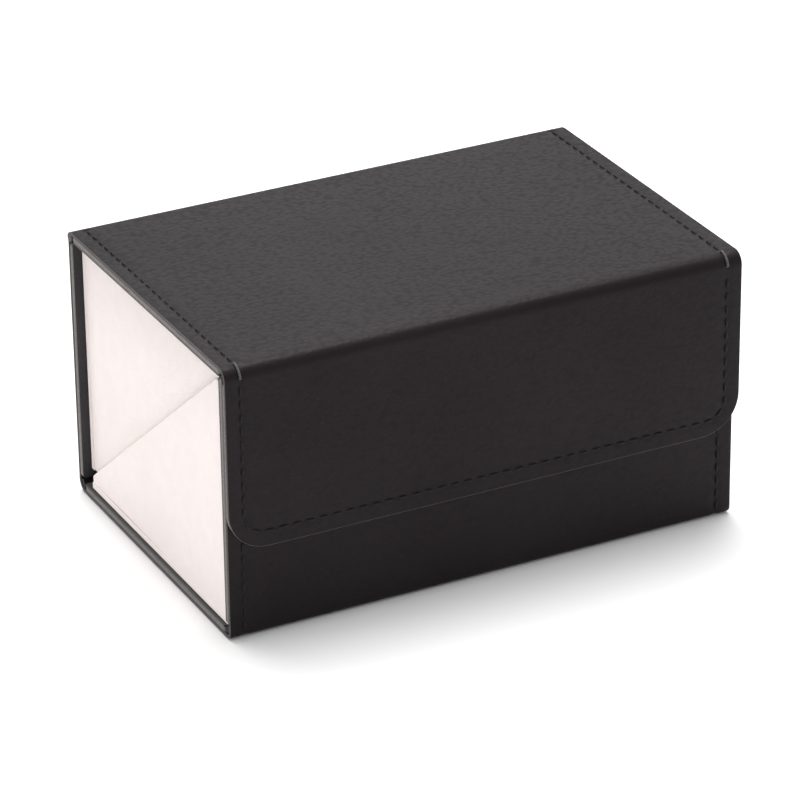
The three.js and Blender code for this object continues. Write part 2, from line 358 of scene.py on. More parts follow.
cut_edge_painted_highlight, tree, shader = new_material("leather_cut_edge_painted_highlight", 0.85)
fibres = node(tree, "ShaderNodeTexNoise", {"Vector": object_vector(tree), "Scale": 2600.0,
              "Detail": 3.0})
tree.links.new(mix_colour(tree, fibres.outputs["Fac"], (0.032, 0.030, 0.029), (0.125, 0.118, 0.110)),
               shader["Base Color"])
relief(tree, fibres.outputs["Fac"], shader, 0.0002, 0.6)
print("leather materials:", leather.name, cut_edge_painted_highlight.name)

# %% [markdown]
# The inside is lined with dark suede-like cloth. Its nap scatters light at grazing angles, so
# sheen is set on the shader's own socket, and brushed streaks vary its colour.

# %% Material: suede lining
lining, tree, shader = new_material("dark_suede_lining", 0.95, Sheen_Weight=0.35)
vector = object_vector(tree)
nap = node(tree, "ShaderNodeTexNoise", {"Vector": vector, "Scale": 3200.0, "Detail": 3.0})
brushed = place(tree, handling, vector, Scale=45.0)
tree.links.new(mix_colour(tree, brushed["Mask"], (0.010, 0.009, 0.010), (0.024, 0.021, 0.024)),
               shader["Base Color"])
relief(tree, nap.outputs["Fac"], shader, 0.0003, 0.7)
print("lining:", lining.name)

# %% [markdown]
# The board shows at the cut ends of the lid, base and walls. Grey board is pressed paper, so it
# gets thin layers along its thickness and a pinkish grey colour with darker fibres.

# %% Materials: the two boards
def board_material(name, dark, light):
    material, tree, shader = new_material(name, 0.92)
    vector = object_vector(tree)
    stretched = node(tree, "ShaderNodeMapping", {"Vector": vector, "Scale": (4, 0.35, 1)})
    fibres = node(tree, "ShaderNodeTexNoise", {"Vector": stretched.outputs[0], "Scale": 1700.0,
                  "Detail": 4.0, "Roughness": 0.6})
    specks = place(tree, dust, vector, Scale=700.0, Amount=0.6)
    base = mix_colour(tree, fibres.outputs["Fac"], dark, light)
    tree.links.new(mix_colour(tree, specks["Mask"], base, dark), shader["Base Color"])
    relief(tree, fibres.outputs["Fac"], shader, 0.0002, 0.5)
    return material


grey_board = board_material("grey_board_edge", (0.09, 0.08, 0.077), (0.30, 0.27, 0.262))
white_board = board_material("white_board_edge", (0.45, 0.42, 0.38), (0.74, 0.70, 0.66))
print("boards:", grey_board.name, white_board.name)

# %% [markdown]
# End cloth: an off-white weave with slight slubs and a trace of handling grime. The weave is far
# finer than a millimetre, so it mostly softens the light.

# %% Material: end cloth
cloth, tree, shader = new_material("cream_end_cloth", 0.88, Sheen_Weight=0.15)
vector = object_vector(tree)
threads = place(tree, weave, vector, Threads=11000.0)
grime = place(tree, handling, vector, Scale=35.0)
tint = mix_colour(tree, threads["Slub"], (0.86, 0.775, 0.755), (0.93, 0.85, 0.835))
tree.links.new(mix_colour(tree, spread(tree, grime["Mask"], 0.0, 0.35), tint, (0.82, 0.75, 0.72)),
               shader["Base Color"])
relief(tree, threads["Height"], shader, 0.00008, 0.5)
print("cloth:", cloth.name)

# %% [markdown]
# Sewing thread is a twisted ply. A wave texture that runs slantwise gives the twist. The metal
# parts are brushed nickel and plain steel, seen only with the pieces taken apart.

# %% Materials: thread and metal
def thread_material(name, dark, light):
    material, tree, shader = new_material(name, 0.6, Specular_IOR_Level=0.25)
    vector = object_vector(tree)
    twist = node(tree, "ShaderNodeTexWave", {"Vector": vector, "Scale": 900.0, "Distortion": 1.5},
                 wave_type="BANDS", bands_direction="DIAGONAL")
    tree.links.new(mix_colour(tree, twist.outputs["Fac"], dark, light), shader["Base Color"])
    relief(tree, twist.outputs["Fac"], shader, 0.0001, 0.6)
    return material


def metal_material(name, colour, roughness):
    material, tree, shader = new_material(name, roughness, Metallic=1.0)
    shader["Base Color"].default_value = (*colour, 1)
    brush = node(tree, "ShaderNodeMapping", {"Vector": object_vector(tree), "Scale": (1, 30, 30)})
    lines = node(tree, "ShaderNodeTexNoise", {"Vector": brush.outputs[0], "Scale": 150.0, "Detail": 3.0})
    tree.links.new(spread(tree, lines.outputs["Fac"], roughness - 0.1, roughness + 0.15),
                   shader["Roughness"])
    return material


dark_thread = thread_material("black_thread", (0.0035, 0.0033, 0.0042), (0.013, 0.012, 0.015))
nickel = metal_material("brushed_nickel", (0.62, 0.60, 0.58), 0.3)
steel = metal_material("plain_steel", (0.50, 0.50, 0.51), 0.4)
# Needle holes are coloured near black: painted shade for the inside of each hole, with a little random
# variation in tone.
hole_painted_shade, tree, shader = new_material("needle_hole_painted_shade", 0.95)
hole_shade_tone = place(tree, handling, object_vector(tree), Scale=900.0)
tree.links.new(mix_colour(tree, hole_shade_tone["Mask"], (0.001, 0.001, 0.001), (0.004, 0.0035, 0.0035)),
               shader["Base Color"])
print("threads and metals done")

# %% [markdown]
# Nodes whose shape is already right stay in the scene and get these finishes in their slots:
# linings, boards, magnets and keeper plates.

# %% Dress the nodes that stay
FINISH = {"suede_lining": lining, "grey_board": grey_board, "gusset_board": white_board,
          "gusset_cloth": cloth, "magnet_nickel": nickel, "keeper_steel": steel,
          "leather": leather, "thread": dark_thread}
for row in frame["record"]["subparts"]:
    kept = frame["nodes"][row["node"]]
    kept.data.materials.clear()
    kept.data.materials.append(FINISH[row["material_slot"]])

# %% [markdown]
# Each leather skin is made as a saddler would form it: a narrow strip is laid along the box,
# its free edge is drawn out flat a row at a time, turned round a fold with Spin, and drawn out
# again. A strip is one millimetre rows all over, which leaves enough points to press seams into
# it later. These helpers start a strip and carry its free edge on.

# %% Skin helpers: start, run, fold
ROW = 1 * MM


class Strip:
    """A sheet across X whose free edge, at a known (y, z), is carried on row by row."""

    def __init__(self, half, start, towards, facing):
        columns = round(2 * half / ROW)
        step = (Vector(towards) - Vector(start)).normalized() * ROW
        middle = Vector(start) + step / 2
        clear_selection()
        bpy.ops.mesh.primitive_grid_add(x_subdivisions=columns, y_subdivisions=1, size=2,
                                        location=(0, *middle), rotation=(facing, 0, 0))
        self.piece = bpy.context.object
        self.piece.scale = (half, ROW / 2, 1)
        bpy.ops.object.transform_apply(location=True, rotation=True, scale=True)
        self.edge = Vector(start) + step
        self.take_edge()
        self.run(Vector(towards))

    def take_edge(self):
        open_piece(self.piece)
        pick(self.piece, "EDGE", lambda m: (Vector((m.y, m.z)) - self.edge).length < TOUCHING)

    def run(self, target):
        """Draw the edge out flat to (y, z)."""
        way = Vector(target) - self.edge
        rows = max(1, round(way.length / ROW))
        for _ in range(rows):
            bpy.ops.mesh.extrude_region_move(
                TRANSFORM_OT_translate={"value": (0, way.x / rows, way.y / rows)})
        self.edge = Vector(target)

    def fold(self, centre, degrees, steps):
        """Turn the edge about (y, z), by the right-hand rule about +X."""
        turn = math.radians(degrees)
        arm = self.edge - Vector(centre)
        bpy.ops.mesh.spin(steps=steps, angle=-turn, center=(0, *centre), axis=(1, 0, 0))
        self.edge = Vector(centre) + Vector((
            arm.x * math.cos(turn) - arm.y * math.sin(turn),
            arm.x * math.sin(turn) + arm.y * math.cos(turn)))
        self.take_edge()

    def done(self, name, outward_point):
        """Close edit mode, and turn the faces so that they look towards outward_point."""
        merge_and_face_out(TOUCHING)
        close_piece()
        first = self.piece.data.polygons[0]
        if first.normal.dot(Vector(outward_point) - first.center) < 0:
            flip_faces(self.piece)
        return settle(self.piece, name)


print("strip rows of", ROW / MM, "mm")

# %% [markdown]
# A seam pulls the leather down into a shallow channel. `press` moves each point inwards along
# its own normal, by how near it lies to the line of stitches. All places and normals are read
# first, because moving a point changes its neighbours' normals.

# %% Skin helpers: press
def straight_seam(half):
    """Distance from a point to the seams along a panel's two ends."""
    return lambda co: abs(abs(co.x) - (half - SEAM_MARGIN))


def resting(piece):
    """Each vertex with a copy of its place and normal, read before any of them moves."""
    return [(v, v.co.copy(), v.normal.copy()) for v in piece.data.vertices]


def press(piece, distance, depth=0.2 * MM, reach=1.7 * MM):
    pressed = 0
    for vertex, co, normal in resting(piece):
        near = distance(co)
        if near < reach:
            vertex.co = co - normal * depth * 0.5 * (1 + math.cos(math.pi * near / reach))
            pressed += 1
    print(piece.name, "pressed at", pressed, "points")


print("seams lie", SEAM_MARGIN / MM, "mm from the cut edges")

# %% [markdown]
# Thickness comes after that, from Solidify, which also puts the cut edge's finish, with its painted
# highlight, on the rim. A small bevel then breaks the sharp cut corners and takes the same finish,
# so the painted highlight runs along them, but not where two skins butt together, so that those
# joints stay unseen.

# %% Skin helpers: thicken
def mark_sharp_edges(piece, butts):
    """Give a bevel weight to each cut edge that isn't hidden in a butt joint."""
    mesh = bmesh.new()
    mesh.from_mesh(piece.data)
    weight = mesh.edges.layers.float.new("bevel_weight_edge")
    sharp = math.radians(55)
    for edge in mesh.edges:
        middle = (edge.verts[0].co + edge.verts[1].co) / 2
        if edge.calc_face_angle(0) > sharp and not butts(middle):
            edge[weight] = 1
    mesh.to_mesh(piece.data)
    mesh.free()


def thicken(piece, thickness, finishes, butts=lambda m: False, soften=0.24 * MM):
    for finish in finishes:
        piece.data.materials.append(finish)
    apply_modifier(piece, "SOLIDIFY", thickness=thickness, offset=-1, use_even_offset=True,
                   material_offset_rim=1)
    mark_sharp_edges(piece, butts)
    # The bevel faces take the cut edge's lighter finish: a painted highlight along each softened edge.
    apply_modifier(piece, "BEVEL", width=soften, segments=2, limit_method="WEIGHT", material=1)
    clear_selection()
    piece.select_set(True)
    bpy.context.view_layer.objects.active = piece
    bpy.ops.object.shade_smooth_by_angle(angle=math.radians(35))
    print(piece.name, len(piece.data.polygons), "faces")
    return piece


SKIN_FINISH = [leather, cut_edge_painted_highlight]
UP, DOWN = 0, math.pi                    # which way a strip faces

# %% [markdown]
# The lid, its front fold and the flap are one piece of leather. It starts at the spine, runs
# forward over the lid, turns down through the fold and ends at the flap's free edge.

# %% Lid and flap skin
fold_centre_y = flap_low.y + FOLD
spine_centre_y = back_high.y - FOLD
fold_z = TOP - FOLD
lid_strip = Strip(LID_HALF, (spine_centre_y, TOP), (fold_centre_y, TOP), UP)
lid_strip.fold((fold_centre_y, fold_z), 90, 8)
lid_strip.run((flap_low.y, flap_low.z))
lid_skin = lid_strip.done("lid_and_flap_leather", (0, 0, 1))
print("lid strip ends at", [round(c / MM, 2) for c in lid_strip.edge])


def round_corners(piece, half, low, radius):
    """Slide the rows near the two free lower corners onto a quarter circle."""
    for vertex in piece.data.vertices:
        u = (abs(vertex.co.x) - (half - radius)) / radius
        v = (low + radius - vertex.co.z) / radius
        if u > 0 and v > 0:
            side = math.copysign(1, vertex.co.x)
            vertex.co.x = side * (half - radius + radius * u * math.sqrt(1 - v * v / 2))
            vertex.co.z = low + radius - radius * v * math.sqrt(1 - u * u / 2)


round_corners(lid_skin, LID_HALF, flap_low.z, FLAP_CORNER)

# %% [markdown]
# The lid is not dead flat: it crowns slightly, and leather over board always has slow waves. The
# flap also bows a little. A sum of a few sines gives the same waves on every run.

# %% Crown and waves
def crown(x, y):
    """How far the lid's middle stands above its edges."""
    along = 1 - (x / LID_HALF) ** 2
    across = math.sin(math.pi * (y - fold_centre_y) / (spine_centre_y - fold_centre_y))
    return CROWN * max(0, along) * max(0, across)


def waves(a, b):
    slow = math.sin(61 * a + 1.3) * math.sin(83 * b + 0.4)
    quick = math.sin(170 * a + 2.1 * math.sin(95 * b)) * math.sin(140 * b + 0.9)
    return (0.07 * slow + 0.035 * quick) * MM


def wave_panels(piece):
    calm = 8 * MM                        # waves die out this near a fold or an edge
    for vertex, co, normal in resting(piece):
        if normal.z > 0.99:
            lift = crown(co.x, co.y)
            vertex.co.z += lift + waves(co.x, co.y) * min(1, lift / (0.2 * CROWN))
        elif abs(normal.y) > 0.99:
            edge = max(0, min(1, (fold_z - co.z) / calm, (LID_HALF - abs(co.x)) / calm))
            vertex.co.y += math.copysign(1, normal.y) * waves(co.x, co.z) * edge


wave_panels(lid_skin)
print("the lid's middle stands", CROWN / MM, "mm proud")

# %% [markdown]
# The flap's seam runs down one end, round a small corner, along the free edge and up the other
# end. Its distance rule is the lid's straight rule with the corner added.

# %% Flap seam channel
seam_x = LID_HALF - SEAM_MARGIN
seam_z = flap_low.z + SEAM_MARGIN


def flap_seam(co):
    x = abs(co.x)
    if co.y > flap_low.y + 0.4 * MM or co.z > seam_z + SEAM_CORNER:
        return abs(x - seam_x)
    if x < seam_x - SEAM_CORNER:
        return abs(co.z - seam_z)
    return abs(math.hypot(x - seam_x + SEAM_CORNER, seam_z + SEAM_CORNER - co.z) - SEAM_CORNER)


press(lid_skin, flap_seam)
thicken(lid_skin, SKIN, SKIN_FINISH, butts=lambda m: m.y > spine_centre_y - 0.01 * MM)
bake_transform(lid_skin)
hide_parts("lid_cover", "flap_fold_leather", "flap_cover")

# %% [markdown]
# The base and front wall are the next piece of leather, made the same way from the base's rear
# edge forwards. It turns round the bottom fold in front.

# %% Base and front skin
WALL_SKIN = front_high.y - front_low.y
base_start = base_high.y - 4 * MM
back_fold_y = base_high.y

FOOT_FOLD = 2 * MM                       # the front's lower fold is creased tighter than the rest
foot_y = front_low.y + FOOT_FOLD
front_strip = Strip(BODY_HALF, (base_start, 0), (foot_y, 0), DOWN)
front_strip.fold((foot_y, FOOT_FOLD), -90, 6)
front_strip.run((front_low.y, front_high.z))
front_skin = front_strip.done("base_and_front_leather", (0, 0, -1))
wave_panels(front_skin)
press(front_skin, straight_seam(BODY_HALF))
thicken(front_skin, WALL_SKIN, SKIN_FINISH, butts=lambda m: m.y > base_start - 0.01 * MM)
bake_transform(front_skin)
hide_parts("base_cover", "front_fold_leather", "front_wall_cover")

# %% [markdown]
# The back wall's piece starts where that one starts and goes the other way, round the rear
# bottom fold and up the back. Where the two pieces butt, under the box, the edges stay sharp.

# %% Back skin
back_strip = Strip(BODY_HALF, (base_start, 0), (back_fold_y, 0), DOWN)
back_strip.fold((back_fold_y, FOLD), 90, 8)
back_strip.run((back_high.y, fold_z))
back_skin = back_strip.done("back_leather", (0, 0, -1))
wave_panels(back_skin)
press(back_skin, straight_seam(BODY_HALF))
thicken(back_skin, WALL_SKIN, SKIN_FINISH,
        butts=lambda m: m.y < base_start + 0.01 * MM or m.z > fold_z - 0.01 * MM)
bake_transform(back_skin)
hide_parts("rear_fold_leather", "back_wall_cover")

# %% [markdown]
# The spine bends twice: where it leaves the back wall, and where it joins the lid. A skin can
# only blend across one hinge, so the quarter turn is made as two skins that butt at its middle.

# %% Spine skins
SPINE_SKIN = 2.4 * MM                    # leather and its turned-in lining, one on the other
SPINE_CENTRE = (spine_centre_y, fold_z)
SPINE_MIDDLE = 45                        # degrees round the quarter turn, where the skins meet


def arc_point(degrees):
    """A point on the outside of the spine's fold, as (y, z)."""
    turn = math.radians(degrees)
    return spine_centre_y + FOLD * math.cos(turn), fold_z + FOLD * math.sin(turn)


def spine_line(degrees):
    """A row of edges across the box, on the outside of the spine's fold."""
    clear_selection()
    bpy.ops.mesh.primitive_grid_add(x_subdivisions=round(2 * LID_HALF / ROW), y_subdivisions=1,
                                    size=2, location=(0, *arc_point(degrees)),
                                    rotation=(math.radians(degrees - 90), 0, 0))
    line = bpy.context.object
    line.scale = (LID_HALF, 0.05 * MM, 1)
    bpy.ops.object.transform_apply(location=True, rotation=True, scale=True)
    open_piece(line)
    pick(line, "VERT", lambda m: True)
    bpy.ops.mesh.remove_doubles(threshold=0.2 * MM)
    pick(line, "EDGE", lambda m: True)
    return line


def narrow_to_wall(piece):
    """The lid is wider than the back wall, so the lower half narrows on its way down."""
    rise = arc_point(SPINE_MIDDLE)[1] - fold_z
    for vertex in piece.data.vertices:
        share = min(1, (vertex.co.z - fold_z) / rise)
        vertex.co.x *= share + (1 - share) * BODY_HALF / LID_HALF


def spine_half(name, start, end):
    strip = spine_line(start)
    bpy.ops.mesh.spin(steps=6, angle=-math.radians(end - start), center=(0, *SPINE_CENTRE),
                      axis=(1, 0, 0))
    merge_and_face_out(TOUCHING)
    close_piece()
    first = strip.data.polygons[0]
    if first.normal.dot(first.center - Vector((first.center.x, *SPINE_CENTRE))) < 0:
        flip_faces(strip)
    settle(strip, name)
    narrow_to_wall(strip)
    thicken(strip, SPINE_SKIN, SKIN_FINISH, butts=lambda m: abs(m.x) < BODY_HALF - 0.3 * MM)
    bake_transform(strip)
    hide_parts("spine_leather")


spine_half("spine_leather_lower", 0, SPINE_MIDDLE)
spine_half("spine_leather_upper", SPINE_MIDDLE, 90)

# %% [markdown]
# A machine stitch is a short length of twisted thread that dives into the leather at both ends.
# One is modelled: a thin cylinder is cut into rows, thinned towards its ends, and its ends are
# bent down. It is then copied along each seam, a little unevenly, as a real seam is. Between
# stitches sits a needle hole, a small crater coloured near black as painted shade.

# %% Stitch and needle hole masters
random.seed(7)
THREAD_R = 0.36 * MM
STITCH = PITCH - 0.75 * MM
THREAD_SINK = 0.02 * MM                  # how deep the masters are set into the leather
HOLE_SINK = 0.13 * MM


def stitch_master():
    clear_selection()
    bpy.ops.mesh.primitive_cylinder_add(vertices=8, radius=THREAD_R, depth=STITCH,
                                        location=(0, 0, 0), rotation=(0, math.pi / 2, 0))
    master = bpy.context.object
    bpy.ops.object.transform_apply(location=True, rotation=True, scale=True)
    open_piece(master)
    for share in (-0.42, -0.3, -0.12, 0.12, 0.3, 0.42):
        bpy.ops.mesh.select_all(action="SELECT")
        bpy.ops.mesh.bisect(plane_co=(share * STITCH, 0, 0), plane_no=(1, 0, 0))
    close_piece()
    for vertex in master.data.vertices:
        out = abs(2 * vertex.co.x / STITCH)
        thin = 1 - 0.35 * out ** 2
        vertex.co.y *= thin
        vertex.co.z = vertex.co.z * thin - 0.62 * MM * out ** 4
    return settle(master, "stitch_master")


def hole_master():
    clear_selection()
    bpy.ops.mesh.primitive_cylinder_add(vertices=10, radius=0.42 * MM, depth=0.2 * MM,
                                        location=(0, 0, -0.1 * MM))
    master = bpy.context.object
    open_piece(master)
    pick(master, "FACE", lambda m: m.z > 0.05 * MM)
    bpy.ops.mesh.inset(thickness=0.14 * MM)
    bpy.ops.transform.translate(value=(0, 0, -0.14 * MM))
    close_piece()
    return settle(master, "hole_master")


stitch, hole = stitch_master(), hole_master()
print("a stitch has", len(stitch.data.polygons), "faces, a hole", len(hole.data.polygons))

# %% [markdown]
# `walk` finds even places along a line, one stitch pitch apart. `copies` puts a copy of a
# master's mesh at each, turned to the line's direction and the leather's outward side and set a
# little askew, and joins them all into one piece.

# %% Sewing helpers
def walk(points, pitch):
    """Places and directions at even steps along a chain of points."""
    spots, left = [], pitch / 2
    for a, b in zip(points, points[1:]):
        way = b - a
        length = way.length
        at = left
        while at < length:
            spots.append((a + way * (at / length), way.normalized()))
            at += pitch
        left = at - length
    return spots


def copies(master, name, spots, outward, sink, finish):
    """Copies of a master at all the spots, set into the leather by sink and joined."""
    made = []
    for index, (place_at, along) in enumerate(spots):
        up = Vector(outward)
        tilt = Matrix.Rotation(random.uniform(-0.07, 0.07), 4, up)
        along = tilt @ along
        side = up.cross(along)
        turn = Matrix((along, side, up)).transposed().to_4x4()
        mesh = master.data.copy()
        mesh.transform(Matrix.Translation(place_at - up * sink) @ turn)
        copy = bpy.data.objects.new(f"{name}_{index}", mesh)
        bpy.context.collection.objects.link(copy)
        made.append(copy)
    clear_selection()
    for copy in made:
        copy.select_set(True)
    bpy.context.view_layer.objects.active = made[0]
    bpy.ops.object.join()
    joined = settle(bpy.context.object, name)
    joined.data.materials.clear()
    joined.data.materials.append(finish)
    bpy.ops.object.shade_smooth_by_angle(angle=math.radians(60))
    return joined


print("threads sink", THREAD_SINK / MM, "mm, needle holes", HOLE_SINK / MM, "mm")

# %% [markdown]
# With those helpers a seam is two joined pieces, its stitches and its needle holes, and both
# stay with the panel that they are sewn through. The lid, front wall, back wall and base have a
# straight seam along each end.

# %% Seams at the two ends
def sew(name, points, outward, body, node_name):
    spots = walk(points, PITCH)
    gaps = [(a + (b - a) / 2, (b - a).normalized()) for (a, _), (b, _) in zip(spots, spots[1:])]
    threads = copies(stitch, f"{name}_stitches", spots, outward, THREAD_SINK, dark_thread)
    holes = copies(hole, f"{name}_needle_holes", gaps, outward, HOLE_SINK, hole_painted_shade)
    for piece in (threads, holes):
        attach(piece, body)
    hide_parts(node_name)
    print(name, "seam:", len(spots), "stitches")


def chain(*corners):
    return [Vector(c) for c in corners]


FOOT_LIFT = 0.2 * MM                     # the base's threads stay clear of the table
for side, sign in (("left", -1), ("right", 1)):
    x = sign * (BODY_HALF - SEAM_MARGIN)
    lid_x = sign * seam_x
    sew(f"lid_{side}",
        chain((lid_x, fold_centre_y + ROW, TOP), (lid_x, spine_centre_y - 2 * ROW, TOP)),
        (0, 0, 1), "lid", f"lid_thread_{side}")
    sew(f"front_wall_{side}",
        chain((x, front_low.y, front_high.z - ROW), (x, front_low.y, FOLD)),
        (0, -1, 0), "front_wall", f"front_wall_thread_{side}")
    sew(f"back_wall_{side}",
        chain((x, back_high.y, back_high.z - ROW), (x, back_high.y, FOLD + ROW)),
        (0, 1, 0), "back_wall", f"back_wall_thread_{side}")
    sew(f"base_{side}",
        chain((x, base_low.y + 2 * ROW, FOOT_LIFT), (x, base_start - ROW, FOOT_LIFT)),
        (0, 0, -1), "base", f"base_thread_{side}")

# %% [markdown]
# The flap's seam is one chain of points: down one end, round both corners as short chords of a
# quarter circle, and up the other end.

# %% Flap seam
def turns(from_degrees, to_degrees, steps=6):
    """Even angles from one to the other, in radians."""
    step = (to_degrees - from_degrees) / steps
    return [math.radians(from_degrees + step * i) for i in range(steps + 1)]


def flap_corner(sign, from_degrees, to_degrees):
    return [Vector((sign * (seam_x - SEAM_CORNER + SEAM_CORNER * math.cos(t)), flap_low.y,
                    seam_z + SEAM_CORNER - SEAM_CORNER * math.sin(t)))
            for t in turns(from_degrees, to_degrees)]


flap_points = (chain((-seam_x, flap_low.y, fold_z - ROW)) + flap_corner(-1, 0, 90)
               + flap_corner(1, 90, 0) + chain((seam_x, flap_low.y, fold_z - ROW)))
sew("flap", flap_points, (0, -1, 0), "flap", "flap_thread")

# %% [markdown]
# Where the lid's seam goes over the front fold, the machine leaves one long stitch. It is a
# circle filled and pushed out as a tube, spun round the fold, and pushed into the leather at its
# far end. It stands proud of the fold, and its thread finish is lighter than the seams' as a painted
# highlight. Being proud and stretched, it rubs pale, so it has a lighter thread finish.

# %% Long stitches over the fold
# This thread's lighter colours are a painted highlight where it passes over the fold.
painted_highlight_thread = thread_material("fold_thread_painted_highlight", (0.035, 0.033, 0.036), (0.13, 0.125, 0.13))


LEAD = 0.7 * ROW                         # straight part at each end of the long stitch
DIVE = 0.5 * MM                          # how deep it starts inside the leather
PROUD = 0.12 * MM                        # how far its middle stands off the fold


def long_stitch(side, sign):
    clear_selection()
    bpy.ops.mesh.primitive_circle_add(vertices=8, radius=THREAD_R, fill_type="NGON",
                                      location=(sign * seam_x, fold_centre_y + LEAD, TOP - DIVE),
                                      rotation=(math.pi / 2, 0, 0))
    tube = bpy.context.object
    bpy.ops.object.transform_apply(location=True, rotation=True, scale=True)
    open_piece(tube)
    bpy.ops.mesh.select_mode(type="FACE")
    bpy.ops.mesh.select_all(action="SELECT")
    bpy.ops.mesh.extrude_region_move(TRANSFORM_OT_translate={"value": (0, -LEAD, DIVE + PROUD)})
    bpy.ops.mesh.spin(steps=8, angle=-math.radians(80), center=(0, fold_centre_y, fold_z),
                      axis=(1, 0, 0))
    bpy.ops.mesh.extrude_region_move(TRANSFORM_OT_translate={"value": (0, 1.5 * DIVE, -LEAD)})
    merge_and_face_out(TOUCHING / 2)
    close_piece()
    settle(tube, f"fold_stitch_{side}")
    tube.data.materials.append(painted_highlight_thread)
    bpy.ops.object.shade_smooth_by_angle(angle=math.radians(60))
    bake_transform(tube)
    print(tube.name, len(tube.data.polygons), "faces")


for side, sign in (("left", -1), ("right", 1)):
    long_stitch(side, sign)
for master in (stitch, hole):
    bpy.data.objects.remove(master)

# %% [markdown]
# The two triangles of an end meet on a crease from the lower back corner to the upper front one.
# Stretched cloth is tightest at the crease and at the far corner, and sinks a little between.

# %% Crease and sinking cloth
SINK = 0.12 * MM                         # the cloth sinks this far between crease and corner
SINK_REACH = 30 * MM


def crease_line():
    """The crease's two ends, from the lower triangle's own corners, as points in Y, Z."""
    low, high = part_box("lower_gusset_facing_left")
    return Vector((0, high.y, low.z)), Vector((0, low.y, high.z))


def sink_cloth(piece, sign, half_way):
    """Let the outer face sink softly away from the crease."""
    crease_a, crease_b = crease_line()
    along = (crease_b - crease_a).normalized()
    for vertex in piece.data.vertices:
        offset = Vector((0, vertex.co.y, vertex.co.z)) - crease_a
        near = (offset - along * offset.dot(along)).length
        if abs(vertex.co.x) > half_way:
            vertex.co.x -= sign * SINK * math.sin(math.pi * min(1, near / SINK_REACH))


print("crease ends", [[round(c / MM, 1) for c in point] for point in crease_line()])

# %% [markdown]
# Each end triangle is thin board wrapped in cream cloth. The frame holds its exact outline, so a
# copy of its facing is merged into one closed shape, its inner face is drawn back to the full
# thickness, and its edges are rounded with Bevel. Rows are cut across with Bisect so that the
# cloth can sink. Solidify then makes it a wrap with the board inside.

# %% Cloth-wrapped triangles
CLOTH = 0.3 * MM
EDGE_ROUND = 0.42 * MM


def wrapped_triangle(half, side, sign):
    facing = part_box(f"{half}_gusset_facing_{side}")
    lining_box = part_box(f"{half}_gusset_lining_{side}")
    outer = max(abs(facing[0].x), abs(facing[1].x))
    inner = min(abs(lining_box[0].x), abs(lining_box[1].x))
    source = frame["nodes"][f"{half}_gusset_facing_{side}"]
    piece = bpy.data.objects.new("triangle", source.data.copy())
    bpy.context.collection.objects.link(piece)
    open_piece(piece)
    bpy.ops.mesh.select_all(action="SELECT")
    bpy.ops.mesh.remove_doubles(threshold=TOUCHING)
    bpy.ops.mesh.dissolve_limited(angle_limit=math.radians(2))
    inner_now = min(abs(facing[0].x), abs(facing[1].x))
    pick(piece, "FACE", lambda m: abs(abs(m.x) - inner_now) < 0.02 * MM)
    bpy.ops.transform.translate(value=(-sign * (inner_now - inner), 0, 0))
    bpy.ops.mesh.select_all(action="SELECT")
    bpy.ops.mesh.bevel(offset=EDGE_ROUND, segments=3, affect="EDGES")
    for y in range(-44, 47, 6):
        bpy.ops.mesh.select_all(action="SELECT")
        bpy.ops.mesh.bisect(plane_co=(0, y * MM, 0), plane_no=(0, 1, 0))
    close_piece()
    sink_cloth(piece, sign, (outer + inner) / 2)
    apply_modifier(piece, "SOLIDIFY", thickness=CLOTH, offset=-1)
    settle(piece, f"{half}_gusset_wrap_{side}")
    piece.data.materials.clear()
    piece.data.materials.append(cloth)
    bpy.ops.object.shade_smooth_by_angle(angle=math.radians(50))
    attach(piece, f"{half}_gusset_{side}")
    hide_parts(f"{half}_gusset_facing_{side}", f"{half}_gusset_lining_{side}")
    print(piece.name, len(piece.data.polygons), "faces")


for half in ("lower", "upper"):
    for side, sign in (("left", -1), ("right", 1)):
        wrapped_triangle(half, side, sign)

# %% [markdown]
# Narrow strips close the corners: cloth at the hinges, suede inside, turned-in leather behind
# the folds. All have one section along their whole length, so one helper makes them. It puts
# down a single point, draws it along the section's corners, draws that line out along the box,
# and gives the sheet a thickness with Solidify.

# %% Helper: a strip with one section
TAPE = 0.14 * MM
TAPE_ROWS = 24


def tape(name, corners, low, high, axis, finish, thickness=TAPE):
    """A strip with its section through corners, drawn out from low to high along axis."""
    clear_selection()
    bpy.ops.mesh.primitive_plane_add(size=1, location=(0, 0, 0))
    strip = bpy.context.object
    open_piece(strip)
    bpy.ops.mesh.select_all(action="SELECT")
    bpy.ops.mesh.delete(type="ONLY_FACE")
    bpy.ops.mesh.select_all(action="SELECT")
    bpy.ops.mesh.merge(type="CENTER")
    bpy.ops.mesh.select_mode(type="VERT")
    bpy.ops.mesh.select_all(action="SELECT")
    bpy.ops.transform.translate(value=corners[0])
    for a, b in zip(corners, corners[1:]):
        bpy.ops.mesh.extrude_region_move(TRANSFORM_OT_translate={"value": Vector(b) - Vector(a)})
    bpy.ops.mesh.select_all(action="SELECT")
    reach = (high - low) / TAPE_ROWS
    for _ in range(TAPE_ROWS):
        bpy.ops.mesh.extrude_region_move(TRANSFORM_OT_translate={"value": Vector(axis) * reach})
    merge_and_face_out(TOUCHING)
    close_piece()
    apply_modifier(strip, "SOLIDIFY", thickness=thickness, offset=0)
    settle(strip, name)
    strip.data.materials.append(finish)
    bpy.ops.object.shade_smooth_by_angle(angle=math.radians(40))
    print(name, len(strip.data.polygons), "faces")
    return strip


lower_low, lower_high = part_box("lower_gusset_facing_right")
upper_low, upper_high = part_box("upper_gusset_facing_right")
base_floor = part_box("base_lining")[1].z
back_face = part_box("back_wall_lining")[0].y
